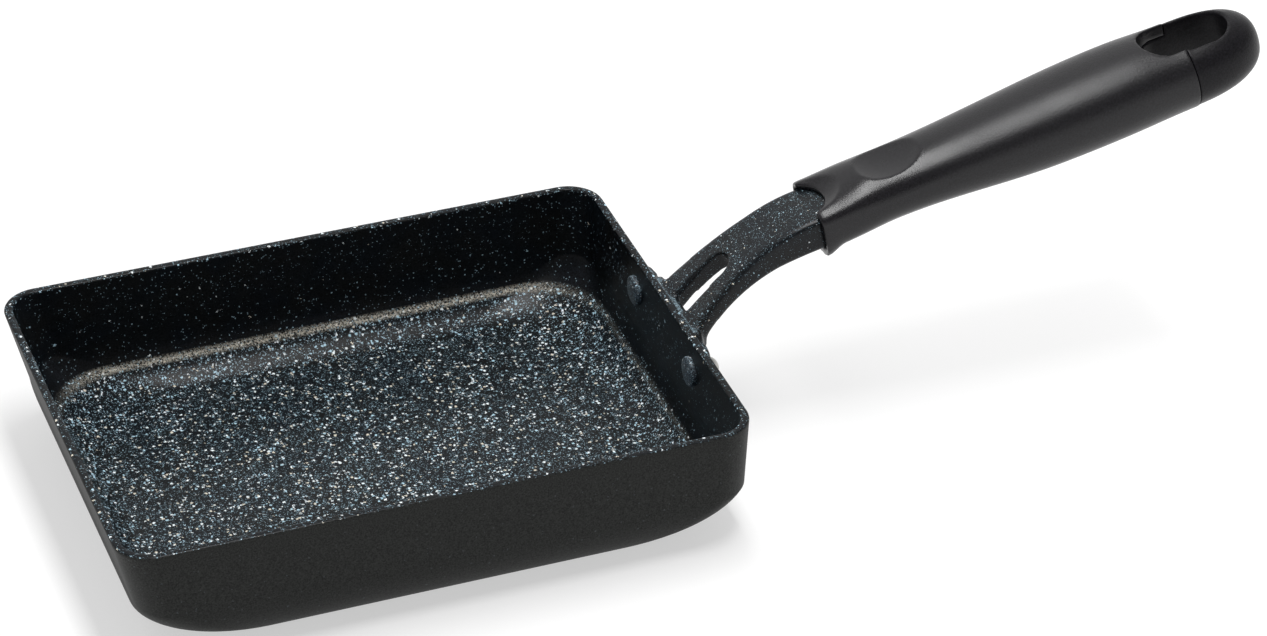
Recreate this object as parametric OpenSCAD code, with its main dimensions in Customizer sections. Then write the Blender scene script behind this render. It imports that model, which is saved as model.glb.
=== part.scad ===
// Rectangular omelette pan: a coated aluminium body, a cast fork bracket riveted to it,
// and a moulded grip with an end cap, both drawn onto the bracket by one long screw.
// The flat base lies on Z = 0, centred under the rim, and the handle runs along +X.

/* [Pan body] */
// Length over the rim, along the handle
rim_len = 185; // [170:1:200]
// Width over the rim
rim_wid = 142; // [130:1:155]
// Height of the rim above the base
pan_h = 40; // [37:1:46]
// Thickness of the walls
wall_t = 2.5; // [2:0.1:3]
// Thickness of the base
base_t = 3; // [2.4:0.1:4]
// How far the front wall leans in, so that an omelette rolls out
front_lean = 5.2; // [3:0.1:7]
// How far the wall behind the handle leans in
handle_lean = 0.4; // [0.3:0.1:1.5]
// How far the two side walls lean in
side_lean = 0.4; // [0.3:0.1:1.5]
// Radius between the walls and the base, outside
base_fillet = 17.5; // [16:0.5:20]
// Corner radius at the rim, seen from above
rim_corner = 11; // [8:0.5:13]
// Corner radius where the fillet starts
wall_corner = 13; // [12:0.5:18]
// Corner radius of the flat base
base_corner = 42; // [24:1:46]
// Small bevel on both edges of the rim
rim_bevel = 0.5; // [0.3:0.1:0.8]

/* [Rivets] */
// Distance between the two rivets
rivet_span = 46; // [42:1:52]
// Depth of the rivets below the rim
rivet_drop = 10; // [8.6:0.2:11.4]
// Diameter of the rivet shank
rivet_d = 5; // [4:0.5:6]
// Diameter of the flat head inside the pan
rivet_head_d = 9; // [8:0.5:12]
// Height of the flat head inside the pan
rivet_head_h = 1.8; // [1.2:0.1:2.4]
// Diameter of the formed dome outside
rivet_dome_d = 7; // [6.5:0.5:10]
// Height of the formed dome outside
rivet_dome_h = 3.2; // [1.8:0.1:3.2]

/* [Bracket] */
// Height of the riveted plate
plate_h = 13; // [11.5:0.5:15]
// Thickness of the plate under the rivets
plate_t = 2.7; // [2.4:0.1:4]
// Thickness of the plate between the arms
plate_mid_t = 3.6; // [3.6:0.1:6]
// Depth of the plate's raised middle below the rim
web_drop = 2; // [1.4:0.2:3.4]
// Width over both arms where they leave the plate
fork_w = 30; // [29:0.5:34]
// Width of the neck
neck_w = 20; // [18:0.5:21]
// Thickness of the arms
arm_t = 5.7; // [5:0.1:8]
// Thickness of the neck where it enters the grip
neck_t = 10.6; // [9.5:0.1:11]
// Width of the slot between the arms
fork_gap = 8.6; // [7:0.2:10]
// Length of the slot between the arms, measured along the arc from the plate
fork_gap_len = 20; // [15:0.5:23]
// Radius of the bracket's arch
arch_r = 70; // [64:1:76]
// How far round the arch the bracket runs
arch_angle = 37; // [35:0.5:39]
// How far the arms' middle rises over the arch where they meet the plate
arm_rise = 0.4; // [0:0.1:1]
// Rounding of the bracket's long edges
bracket_edge = 2; // [1:0.2:2.6]
// Width of the tang inside the grip
tang_w = 14; // [12:0.5:16]
// Thickness of the tang
tang_t = 8.4; // [8:0.2:9]
// Depth of the tang inside the grip
tang_len = 48; // [40:1:56]

/* [Grip] */
// Angle at which the grip rises
grip_tilt = 12.8; // [9:0.2:17]
// Length of the grip with its end cap
grip_len = 146; // [141:0.5:159]
// Width of the collar that takes the neck
collar_w = 24.8; // [24:0.1:27]
// Height of the collar above the grip's axis
collar_up = 6.6; // [6.2:0.1:8]
// Depth of the collar below the grip's axis
collar_down = 8.8; // [8.6:0.1:10]
// How far the finger lip stands out under the collar
lip_drop = 2.6; // [1:0.2:3.4]
// Length of the finger lip
lip_len = 6.5; // [5:0.5:10]
// Distance from the collar to the waist
waist_at = 24; // [21:1:29]
// Width of the waist
waist_w = 25; // [23:0.5:27]
// Height of the waist
waist_h = 18.6; // [16.6:0.2:20]
// Distance from the collar to the widest place
belly_at = 97; // [84:1:99]
// Distance from the collar to the highest place of the back
back_at = 103; // [89:1:105]
// Distance from the collar to the deepest place of the underside
palm_at = 77; // [69:1:95]
// Width at the thickest place
belly_w = 31; // [28:0.5:34]
// Height at the thickest place
belly_h = 25.8; // [24:0.2:28]
// Length of the end cap beyond its joint with the grip
cap_len = 25; // [24:0.5:27]
// Width at the joint with the end cap
joint_w = 29.4; // [28:0.2:31]
// Height at the joint with the end cap
joint_h = 24.4; // [23.4:0.2:26]
// Width of the notch over the neck
notch_w = 17; // [14:0.5:18]
// Depth of the notch over the neck
notch_len = 5.2; // [4:0.2:6]
// Distance from the collar to the middle of the round scoop about the notch
scoop_at = -1; // [-2:0.2:1]
// Length of the scoop from its middle
scoop_len = 9.8; // [9:0.2:12]
// Depth of the scoop
scoop_deep = 2.2; // [1:0.1:2.4]
// Distance from the collar to the middle of the thumb rest
thumb_at = 25.8; // [23:0.2:31]
// Length of the thumb rest
thumb_len = 21.4; // [16:0.2:24]
// Depth of the thumb rest
thumb_deep = 2.4; // [1:0.1:2.6]

/* [Hang slot and end cap] */
// Thickness of the end cap behind the hang slot
slot_end_wall = 8.7; // [8:0.1:11]
// Length of the hang slot
slot_len = 27.8; // [24:0.1:28]
// Width of the hang slot
slot_w = 16; // [14:0.5:16.5]
// Width of the cap's tongue inside the grip
tongue_w = 20.6; // [19.6:0.2:21]
// Height of the cap's tongue
tongue_h = 13.8; // [12.4:0.2:14]
// Length of the cap's tongue from the joint
tongue_len = 24; // [22:0.5:26]
// Rounding of the tongue's long edges
tongue_edge = 2; // [1:0.2:3]
// How much smaller the cap is than the grip at their joint
cap_step = 0.25; // [0:0.05:0.4]

/* [Screw] */
// Diameter of the long screw
screw_d = 5; // [4:0.5:5.5]
// How far the screw reaches into the tang
screw_grip = 14; // [10:1:18]
// Diameter of the screw's head
screw_head_d = 8.8; // [8.4:0.1:9]
// Height of the screw's head
screw_head_h = 2.8; // [2.2:0.1:3]
// Outer diameter of both washers
washer_d = 9.4; // [8.8:0.1:9.6]
// Thickness of the flat washer
flat_washer_t = 1; // [0.8:0.1:1.2]
// Thickness of the spring washer
spring_washer_t = 1.2; // [1:0.1:1.4]

/* [Fits] */
// Space round a shank or a screw in its hole
bore_clear = 0.1; // [0.05:0.05:0.2]
// Space round the neck, the tang and the tongue in their sockets
socket_clear = 0.2; // [0.1:0.05:0.3]
// Space between the end cap and the grip along their joint
joint_gap = 0.1; // [0.05:0.05:0.2]
// Space between the screw's seat and the front of the hang slot
head_sink = 0.9; // [0.6:0.1:1.5]

/* [Hidden] */
$fn = 48;

// Steps round one corner of the pan and up its fillet
corner_steps = 9;
fillet_steps = 9;
// Points round the grip, and steps along each of its three stretches
grip_points = 36;
grip_steps = 7;
end_steps = 9;
// Steps along the bracket, and round one of its long edges
arch_steps = 14;
edge_steps = 3;
// Longer than any piece, for cuts that go right through
through = 200;
// Cuts run this far past the face that they open
past = 1;

wall_angle = atan(handle_lean / (pan_h - base_fillet));
inner_fillet = base_fillet - base_t;
plate_len = rivet_span + plate_h;
rivet_bore = rivet_d + 2 * bore_clear;
shank_len = wall_t / cos(wall_angle) + plate_t;

// The arch's middle line starts this far out from the rim and this far below it
foot_out = 4.2;
foot_drop = 4.6;
arch_foot = [rim_len / 2 + foot_out, pan_h - foot_drop];
foot_angle = grip_tilt + arch_angle;
arch_centre = arch_foot + arch_r * [sin(foot_angle), -cos(foot_angle)];
neck_end = arch_centre + arch_r * [-sin(grip_tilt), cos(grip_tilt)];
// The neck, the tang and the screw lie this far below the grip's axis
neck_drop = 1.6;
tang_drop = 1;
screw_drop = 0.8;
// The collar begins this far back from the end of the arch
collar_back = 1;
collar = neck_end + [
    collar_back * cos(grip_tilt) - neck_drop * sin(grip_tilt),
    collar_back * sin(grip_tilt) + neck_drop * cos(grip_tilt)
];
neck_depth = 8;
gap_angle = fork_gap_len / arch_r * 180 / PI;

joint_at = grip_len - cap_len;
slot_end = grip_len - slot_end_wall;
slot_at = slot_end - slot_len;
tongue_front = joint_at - tongue_len;
head_front = slot_at - head_sink;
washer_seat = head_front - screw_head_h - spring_washer_t - flat_washer_t;
screw_tip = tang_len - screw_grip;
screw_bore = screw_d + 2 * bore_clear;
head_bore = washer_d + 2 * bore_clear;

function lerp(a, b, t) = a + (b - a) * t;
function ease(t) = (1 - cos(180 * t)) / 2;
function power(v, e) = sign(v) * pow(abs(v), e);

// Corner points of a rounded rectangle, anticlockwise
function rounded(x0, x1, y0, y1, r, steps) = [
    for (c = [[x1 - r, y1 - r, 0], [x0 + r, y1 - r, 90], [x0 + r, y0 + r, 180], [x1 - r, y0 + r, 270]])
        for (i = [0:steps])
            [c[0] + r * cos(c[2] + 90 * i / steps), c[1] + r * sin(c[2] + 90 * i / steps)]
];

// One level of the pan: share is 0 at the rim and 1 where the fillet starts
function pan_ring(z, inset, share, corner) = [
    for (p = rounded(
        -rim_len / 2 + inset + front_lean * share,
        rim_len / 2 - inset - handle_lean * share,
        -rim_wid / 2 + inset + side_lean * share,
        rim_wid / 2 - inset - side_lean * share,
        corner, corner_steps))
        [p[0], p[1], z]
];

// Levels of one skin of the pan, from its flat bottom up to the rim
function pan_skin(skin, floor_z, fillet) = [
    for (i = [fillet_steps:-1:0])
        let (a = 90 * i / fillet_steps, turn = 1 - cos(a))
            pan_ring(floor_z + fillet * (1 - sin(a)), skin + fillet * turn, 1,
                lerp(wall_corner, base_corner, sqrt(turn)) - skin),
    pan_ring(lerp(floor_z + fillet, pan_h - rim_bevel, 0.5), skin, 0.5,
        lerp(rim_corner, wall_corner, 0.5) - skin),
    pan_ring(pan_h - rim_bevel, skin, 0, rim_corner - skin)
];

function reversed(list) = [for (i = [len(list) - 1:-1:0]) list[i]];

// A closed skin through rings of equally many points
module loft(rings) {
    n = len(rings[0]);
    last = len(rings) - 1;
    sides = [
        for (k = [0:last - 1])
            for (i = [0:n - 1])
                let (j = (i + 1) % n)
                    each [
                        [k * n + i, (k + 1) * n + i, (k + 1) * n + j],
                        [k * n + i, (k + 1) * n + j, k * n + j]
                    ]
    ];
    first_cap = [for (i = [0:n - 1]) i];
    last_cap = [for (i = [n - 1:-1:0]) last * n + i];
    polyhedron(points = [for (r = rings) each r], faces = concat([first_cap], sides, [last_cap]), convexity = 8);
}

// Puts its children on the outer face of the handle wall: X points out, Z runs up to the rim
module at_wall() {
    translate([rim_len / 2, 0, pan_h])
        rotate([0, wall_angle, 0])
            children();
}

// Puts its children on both rivets, with Z pointing out of the wall
module at_rivets() {
    at_wall()
        for (side = [-1, 1])
            translate([0, side * rivet_span / 2, -rivet_drop])
                rotate([0, 90, 0])
                    children();
}

// Puts its children on the grip's axis: X runs back from the collar, Z points up
module at_grip() {
    translate([collar[0], 0, collar[1]])
        rotate([0, -grip_tilt, 0])
            children();
}

// A cylinder along the screw's axis
module along_screw(from, to, d) {
    translate([from, 0, -screw_drop])
        rotate([0, 90, 0])
            cylinder(h = to - from, d = d);
}

// The tang, or with some space round it, its socket
module tang(from, to, space) {
    translate([from, -tang_w / 2 - space, -tang_drop - tang_t / 2 - space])
        cube([to - from, tang_w + 2 * space, tang_t + 2 * space]);
}

module pan_body() {
    color("#23262b")
        difference() {
            loft(concat(
                pan_skin(0, 0, base_fillet),
                [pan_ring(pan_h, rim_bevel, 0, rim_corner - rim_bevel)],
                [pan_ring(pan_h, wall_t - rim_bevel, 0, rim_corner - wall_t + rim_bevel)],
                reversed(pan_skin(wall_t, base_t, inner_fillet))
            ));
            at_rivets()
                translate([0, 0, -2 * wall_t])
                    cylinder(h = 3 * wall_t, d = rivet_bore);
        }
}

// Half outline of a rivet, turned about its axis: flat head inside, formed dome outside
module rivet_outline() {
    inner_face = -wall_t / cos(wall_angle);
    head_edge = rivet_head_h * 0.4;
    dome_r = (pow(rivet_dome_d / 2, 2) + pow(rivet_dome_h, 2)) / (2 * rivet_dome_h);
    translate([0, inner_face])
        square([rivet_d / 2, shank_len]);
    polygon([
        [0, inner_face],
        [rivet_head_d / 2, inner_face],
        [rivet_head_d / 2, inner_face - head_edge],
        [rivet_head_d / 2 - 0.5, inner_face - head_edge - 0.6],
        [rivet_head_d / 4, inner_face - rivet_head_h + 0.1],
        [0, inner_face - rivet_head_h]
    ]);
    intersection() {
        translate([0, plate_t + rivet_dome_h - dome_r])
            circle(dome_r);
        translate([0, plate_t])
            square([rivet_dome_d, rivet_dome_h]);
    }
}

module rivets() {
    color("#8f9296")
        at_rivets()
            rotate_extrude()
                rivet_outline();
}

// A section of the bracket, at an angle back from the collar and then a way on into the grip
function arch_ring(angle, on, w, t, rise) =
    let (lean = grip_tilt + angle)
        [
            for (p = rounded(-w / 2, w / 2, rise - t / 2, rise + t / 2, bracket_edge, edge_steps))
                [
                    arch_centre[0] - (arch_r + p[1]) * sin(lean) + on * cos(lean),
                    p[0],
                    arch_centre[1] + (arch_r + p[1]) * cos(lean) + on * sin(lean)
                ]
        ];

// The arch widens into a fork and thins towards the middle of its arms
module arch() {
    // The first section is buried in the plate
    buried = 3;
    arms = [
        for (i = [arch_steps:-1:0])
            let (
                share = i / arch_steps,
                w = lerp(neck_w, fork_w, share < 0.3 ? 0 : pow((share - 0.3) / 0.7, 1.3)),
                t = lerp(neck_t, arm_t, ease(min(1, share / 0.8)))
            )
                arch_ring(share * (arch_angle + buried), 0, w, t, arm_rise * share)
    ];
    shoulder = arch_ring(0, collar_back + neck_depth - socket_clear, neck_w, neck_t, 0);
    loft(concat(arms, [shoulder]));
}

// The riveted plate: round ends, a flat back and a thicker middle that reaches up towards the rim
module plate() {
    end_t = 1.9;
    web_w = fork_w + 4;
    translate([0, -web_w / 2, -rivet_drop])
        cube([plate_mid_t, web_w, rivet_drop - web_drop]);
    intersection() {
        rotate([0, 90, 0])
            hull()
                for (side = [-1, 1])
                    translate([rivet_drop, side * rivet_span / 2, 0])
                        cylinder(h = plate_mid_t + past, d = plate_h);
        translate([0, 0, -rivet_drop - plate_h])
            linear_extrude(2 * plate_h)
                polygon([
                    [0, -plate_len / 2],
                    [end_t, -plate_len / 2],
                    [plate_t + 0.2, -rivet_span / 2],
                    [plate_mid_t, -fork_w / 2],
                    [plate_mid_t, fork_w / 2],
                    [plate_t + 0.2, rivet_span / 2],
                    [end_t, plate_len / 2],
                    [0, plate_len / 2]
                ]);
    }
}

// The slot between the arms, cut square to the arch at its round end
module fork_slot() {
    round_at = arch_angle - gap_angle;
    lean = grip_tilt + round_at;
    translate([arch_centre[0] - arch_r * sin(lean), 0, arch_centre[1] + arch_r * cos(lean)])
        rotate([0, -lean, 0]) {
            translate([-fork_gap / 2, 0, 0])
                cylinder(h = 3 * neck_t, d = fork_gap, center = true);
            translate([-through / 2 - fork_gap / 2, 0, 0])
                cube([through, fork_gap, 5 * neck_t], center = true);
        }
}

module handle_bracket() {
    color("#1d1f22")
        difference() {
            union() {
                difference() {
                    arch();
                    fork_slot();
                }
                at_wall()
                    plate();
                at_grip()
                    tang(neck_depth / 2, tang_len, 0);
            }
            at_wall()
                translate([-through, -through / 2, -through / 2])
                    cube([through, through, through]);
            at_rivets() {
                translate([0, 0, -past])
                    cylinder(h = plate_mid_t + 2 * past, d = rivet_bore);
                translate([0, 0, plate_t])
                    cylinder(h = plate_mid_t, d = rivet_dome_d + 1);
            }
            at_grip()
                along_screw(screw_tip - past, tang_len + past, screw_bore);
        }
}

// Half width of the grip at a distance from the collar
function half_width(x) =
    x < waist_at ? lerp(collar_w, waist_w, ease(x / waist_at)) / 2 :
    x < belly_at ? lerp(waist_w, belly_w, ease((x - waist_at) / (belly_at - waist_at))) / 2 :
    lerp(belly_w, joint_w, ease(min(1, (x - belly_at) / (joint_at - belly_at)))) / 2;

// Height of the grip's back over its axis, or depth of its underside, fullest at a given distance
function half_height(x, at_collar, full_at) =
    x < waist_at ? lerp(at_collar, waist_h / 2, ease(x / waist_at)) :
    x < full_at ? lerp(waist_h, belly_h, ease((x - waist_at) / (full_at - waist_at))) / 2 :
    lerp(belly_h, joint_h, ease(min(1, (x - full_at) / (joint_at - full_at)))) / 2;

// The finger lip under the collar
function lip(x) =
    x < lip_len ? lip_drop * pow(cos(90 * x / lip_len), 2) : 0;

// How far the round end has closed in, 1 at the joint and 0 at the tip: a larger e closes it later
function closing(x, e) = x <= joint_at ? 1 : pow(1 - pow((x - joint_at) / cap_len, e), 1 / e);

// How square a section is: boxy at the collar, an ellipse from the waist on
function squareness(x) = x < waist_at ? lerp(3.4, 2.15, ease(x / waist_at)) : 2.15;

// One section of the grip, with its points turning from side to back
function grip_ring(x, less) = [
    for (i = [0:grip_points - 1])
        let (
            a = 360 * i / grip_points,
            e = 2 / squareness(x),
            w = (half_width(x) - less) * closing(x, 2.4),
            up = (half_height(x, collar_up, back_at) - less) * closing(x, 3.1),
            down = (half_height(x, collar_down, palm_at) + lip(x) - less) * closing(x, 2.4)
        )
            [x, w * power(cos(a), e), (sin(a) < 0 ? down : up) * power(sin(a), e)]
];

// A hang slot with round ends, cut across the grip
module hang_slot() {
    for (x = [slot_at + slot_w / 2, slot_end - slot_w / 2])
        translate([x, 0, 0])
            cylinder(h = 3 * belly_h, d = slot_w, center = true);
    translate([slot_at + slot_w / 2, -slot_w / 2, -1.5 * belly_h])
        cube([slot_len - slot_w, slot_w, 3 * belly_h]);
}

// A block that rounds its corners about the grip's axis
module round_block(from, to, w, h, r) {
    translate([from, 0, 0])
        rotate([90, 0, 90])
            linear_extrude(to - from)
                polygon(rounded(-w / 2, w / 2, -h / 2, h / 2, r, edge_steps));
}

// Radius of a hollow that is this deep in the middle and this long to its end
function hollow_r(len, deep) = (pow(len, 2) + pow(deep, 2)) / (2 * deep);

// The round scoop about the notch, and the thumb rest, cut by a barrel that lies across the grip
module grip_scoops() {
    scoop_r = hollow_r(scoop_len, scoop_deep);
    translate([scoop_at, 0, half_height(scoop_at, collar_up, back_at) - scoop_deep + scoop_r])
        sphere(scoop_r, $fn = 96);
    thumb_r = hollow_r(thumb_len / 2, thumb_deep);
    barrel_r = 60;
    translate([thumb_at, 0, half_height(thumb_at, collar_up, back_at) - thumb_deep + thumb_r])
        rotate([90, 0, 0])
            rotate_extrude($fn = 96)
                intersection() {
                    translate([thumb_r - barrel_r, 0])
                        circle(barrel_r, $fn = 192);
                    translate([0, -belly_w / 2])
                        square([thumb_r, belly_w]);
                }
}

module grip() {
    first = [for (i = [0:grip_steps]) lerp(0, waist_at, i / grip_steps)];
    second = [for (i = [1:grip_steps + 4]) lerp(waist_at, back_at, i / (grip_steps + 4))];
    third = [for (i = [1:3]) lerp(back_at, joint_at - joint_gap, i / 3)];
    color("#202124")
        at_grip()
            difference() {
                loft([for (x = concat(first, second, third)) grip_ring(x, 0)]);
                grip_scoops();
                // Notch in the collar's back, over the neck
                translate([notch_len - notch_w / 2, 0, 0])
                    cylinder(h = belly_h, d = notch_w);
                // Socket for the neck's shoulder, then for the tang
                translate([0, 0, -neck_drop])
                    round_block(-past, neck_depth,
                        neck_w + 2 * socket_clear, neck_t + 2 * socket_clear, bracket_edge + socket_clear);
                tang(-past, tang_len + 2 * socket_clear, socket_clear);
                // Way for the long screw
                along_screw(tang_len, joint_at, screw_bore + 2 * socket_clear);
                // Socket for the cap's tongue
                translate([0, 0, -screw_drop])
                    round_block(tongue_front - socket_clear, joint_at + past,
                        tongue_w + 2 * socket_clear, tongue_h + 2 * socket_clear, tongue_edge + socket_clear);
                hang_slot();
            }
}

module end_cap() {
    tip_angles = [for (i = [0:end_steps]) 86 * i / end_steps];
    color("#202124")
        at_grip()
            difference() {
                union() {
                    loft([for (a = tip_angles) grip_ring(joint_at + cap_len * sin(a), cap_step)]);
                    translate([0, 0, -screw_drop])
                        round_block(tongue_front, joint_at + past, tongue_w, tongue_h, tongue_edge);
                }
                hang_slot();
                along_screw(tongue_front - past, slot_at + slot_w / 2, screw_bore);
                along_screw(washer_seat, slot_at + slot_w / 2, head_bore);
            }
}

module handle_screw() {
    head_back = washer_seat + flat_washer_t + spring_washer_t;
    drive_w = 1.4;
    drive_deep = 1.4;
    color("#b9bbbe")
        at_grip()
            difference() {
                union() {
                    along_screw(screw_tip, head_back + screw_head_h / 2, screw_d);
                    along_screw(head_back, head_back + screw_head_h, screw_head_d);
                }
                // Cross recess for the driver
                for (turn = [0, 90])
                    translate([head_back + screw_head_h, 0, -screw_drop])
                        rotate([turn, 0, 0])
                            cube([2 * drive_deep, drive_w, 0.6 * screw_head_d], center = true);
            }
}

// A ring between two places on the screw's axis
module washer(from, t, hole) {
    difference() {
        along_screw(from, from + t, washer_d);
        along_screw(from - past, from + t + past, hole);
    }
}

module spring_washer() {
    split_w = 0.8;
    from = washer_seat + flat_washer_t;
    color("#9a9da1")
        at_grip()
            difference() {
                washer(from, spring_washer_t, screw_bore);
                translate([from + spring_washer_t / 2, 0, washer_d / 2 - screw_drop])
                    rotate([0, 0, 20])
                        cube([3 * spring_washer_t, split_w, washer_d], center = true);
            }
}

module flat_washer() {
    color("#b9bbbe")
        at_grip()
            washer(washer_seat, flat_washer_t, screw_bore);
}

pan_body();
rivets();
handle_bracket();
grip();
end_cap();
handle_screw();
spring_washer();
flat_washer();
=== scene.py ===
from functools import partial
from math import asin, atan, copysign, cos, hypot, pi, radians, sin, sqrt

import bmesh
import bpy
from bpy.props import FloatProperty, FloatVectorProperty, PointerProperty
from bpy.types import Operator, Panel, PropertyGroup
from mathutils import Matrix, Vector


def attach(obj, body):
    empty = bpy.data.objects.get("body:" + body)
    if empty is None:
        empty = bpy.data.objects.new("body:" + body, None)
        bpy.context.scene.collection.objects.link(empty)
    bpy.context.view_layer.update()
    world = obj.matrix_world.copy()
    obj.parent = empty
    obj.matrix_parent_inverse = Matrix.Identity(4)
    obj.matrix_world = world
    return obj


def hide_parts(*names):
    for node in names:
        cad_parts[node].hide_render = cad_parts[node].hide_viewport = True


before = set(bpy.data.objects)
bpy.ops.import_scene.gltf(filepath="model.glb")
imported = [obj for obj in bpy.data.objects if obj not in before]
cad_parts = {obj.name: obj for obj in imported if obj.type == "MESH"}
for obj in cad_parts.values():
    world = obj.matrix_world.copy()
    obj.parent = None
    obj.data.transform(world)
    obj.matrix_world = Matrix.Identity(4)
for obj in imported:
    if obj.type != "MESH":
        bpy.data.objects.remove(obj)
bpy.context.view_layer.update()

bl_info = {
    "name": "Rolled omelette pan",
    "version": (1, 0, 0),
    "blender": (4, 5, 0),
    "location": "View3D > Sidebar > Omelette pan",
    "description": "Models a coated omelette pan, its riveted bracket and its grip around the CAD frame",
    "category": "Object",
}

MM = 0.001
shift = Matrix.Translation
# Vertices closer than this are merged, and edges blunter than this are shaded smooth
SAME_PLACE = 0.001 * MM
CRISP = radians(38)
# Shapes run on by this much into each other, or past what they cut
OVERLAP = 1 * MM
# Cell, least and most radius, and soft edge of the chips in the coats, in millimetres
LARGE_CHIPS = (1.0, 0.17, 0.5, 0.06)
SMALL_CHIPS = (0.48, 0.09, 0.25, 0.05)
PAINT_CHIPS = (1.3, 0.14, 0.36, 0.12)


# Sizes and colours

def linear(code, alpha=1.0):
    """Turn an sRGB hex colour into the linear colour that Blender works in."""
    parts = [int(code[i:i + 2], 16) / 255 for i in (0, 2, 4)]
    return tuple(c / 12.92 if c <= 0.04045 else ((c + 0.055) / 1.055) ** 2.4 for c in parts) + (alpha,)


def length(label, text, mm):
    """A length that a user may change, written in millimetres and held in metres."""
    return FloatProperty(
        name=label, description=text, default=mm * MM, precision=5, subtype="DISTANCE", unit="LENGTH")


def angle(label, text, degrees):
    """An angle that a user may change, written in degrees."""
    return FloatProperty(
        name=label, description=text, default=radians(degrees), subtype="ANGLE", unit="ROTATION")


def share(label, text, value):
    """A plain number from 0 to 1 that a user may change."""
    return FloatProperty(name=label, description=text, default=value, min=0.0, max=1.0, subtype="FACTOR")


def colour(label, text, code):
    """A colour that a user may change, written as an sRGB hex value."""
    return FloatVectorProperty(
        name=label, description=text, default=linear(code), size=4, min=0, max=1, subtype="COLOR")


class PanSizes(PropertyGroup):
    """Sizes of the coated body"""
    rim_len: length("Rim length", "Length over the rim, along the handle", 185)
    rim_wid: length("Rim width", "Width over the rim", 142)
    height: length("Height", "Height of the rim above the base", 40)
    wall_t: length("Wall thickness", "Thickness of the walls", 2.5)
    base_t: length("Base thickness", "Thickness of the base", 3)
    front_lean: length("Front lean", "How far the front wall leans in", 5.2)
    handle_lean: length("Handle wall lean", "How far the wall behind the handle leans in", 0.4)
    side_lean: length("Side lean", "How far the side walls lean in", 0.4)
    fillet: length("Base fillet", "Outer radius between the walls and the base", 17.5)
    rim_corner: length("Rim corner", "Corner radius at the rim", 11)
    wall_corner: length("Wall corner", "Corner radius where the fillet starts", 13)
    base_corner: length("Base corner", "Corner radius of the flat base", 42)
    rim_round: length("Rim rounding", "Rounding of both edges of the rim", 0.6)


class RivetSizes(PropertyGroup):
    """Sizes of the two rivets"""
    span: length("Rivet span", "Distance between the two rivets", 46)
    drop: length("Rivet drop", "Depth of the rivets below the rim", 10)
    shank_d: length("Shank diameter", "Diameter of the shank", 5)
    head_d: length("Head diameter", "Diameter of the head inside the pan", 9)
    head_h: length("Head height", "Height of the head inside the pan", 1.8)
    dome_d: length("Dome diameter", "Diameter of the formed dome outside", 7)
    dome_h: length("Dome height", "Height of the formed dome outside", 3.2)


class BracketSizes(PropertyGroup):
    """Sizes of the cast fork bracket"""
    plate_h: length("Plate height", "Height of the riveted plate", 13)
    plate_end_t: length("Plate end", "Thickness of the plate at its round ends", 1.9)
    plate_t: length("Plate thickness", "Thickness of the plate under the rivets", 2.7)
    plate_mid_t: length("Plate middle", "Thickness of the plate between the arms", 3.6)
    web_drop: length("Plate top", "Depth of the plate's raised middle below the rim", 2)
    root_r: length("Root fillet", "Fillet between the arms and the plate", 2.4)
    fork_w: length("Fork width", "Width over both arms where they leave the plate", 30)
    neck_w: length("Neck width", "Width of the neck", 20)
    arm_t: length("Arm thickness", "Thickness of the arms", 5.7)
    neck_t: length("Neck thickness", "Thickness of the neck at the grip", 10.6)
    gap_w: length("Fork gap", "Width of the slot between the arms", 8.6)
    gap_len: length("Fork gap length", "Length of the slot along the arch", 20)
    arch_r: length("Arch radius", "Radius of the bracket's arch", 70)
    arch_angle: angle("Arch angle", "How far round the arch the bracket runs", 37)
    arm_rise: length("Arm rise", "How far the arms rise over the arch at the plate", 0.4)
    edge_r: length("Long edges", "Rounding of the bracket's long edges", 2)
    foot_out: length("Foot out", "Start of the arch's middle line, out from the rim", 4.2)
    foot_drop: length("Foot drop", "Start of the arch's middle line, below the rim", 4.6)
    tang_w: length("Tang width", "Width of the tang inside the grip", 14)
    tang_t: length("Tang thickness", "Thickness of the tang", 8.4)
    tang_len: length("Tang length", "Depth of the tang inside the grip", 48)
    tang_drop: length("Tang drop", "How far the tang lies below the grip's axis", 1)
    screw_d: length("Screw bore", "Diameter of the bore for the long screw", 5.2)


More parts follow.
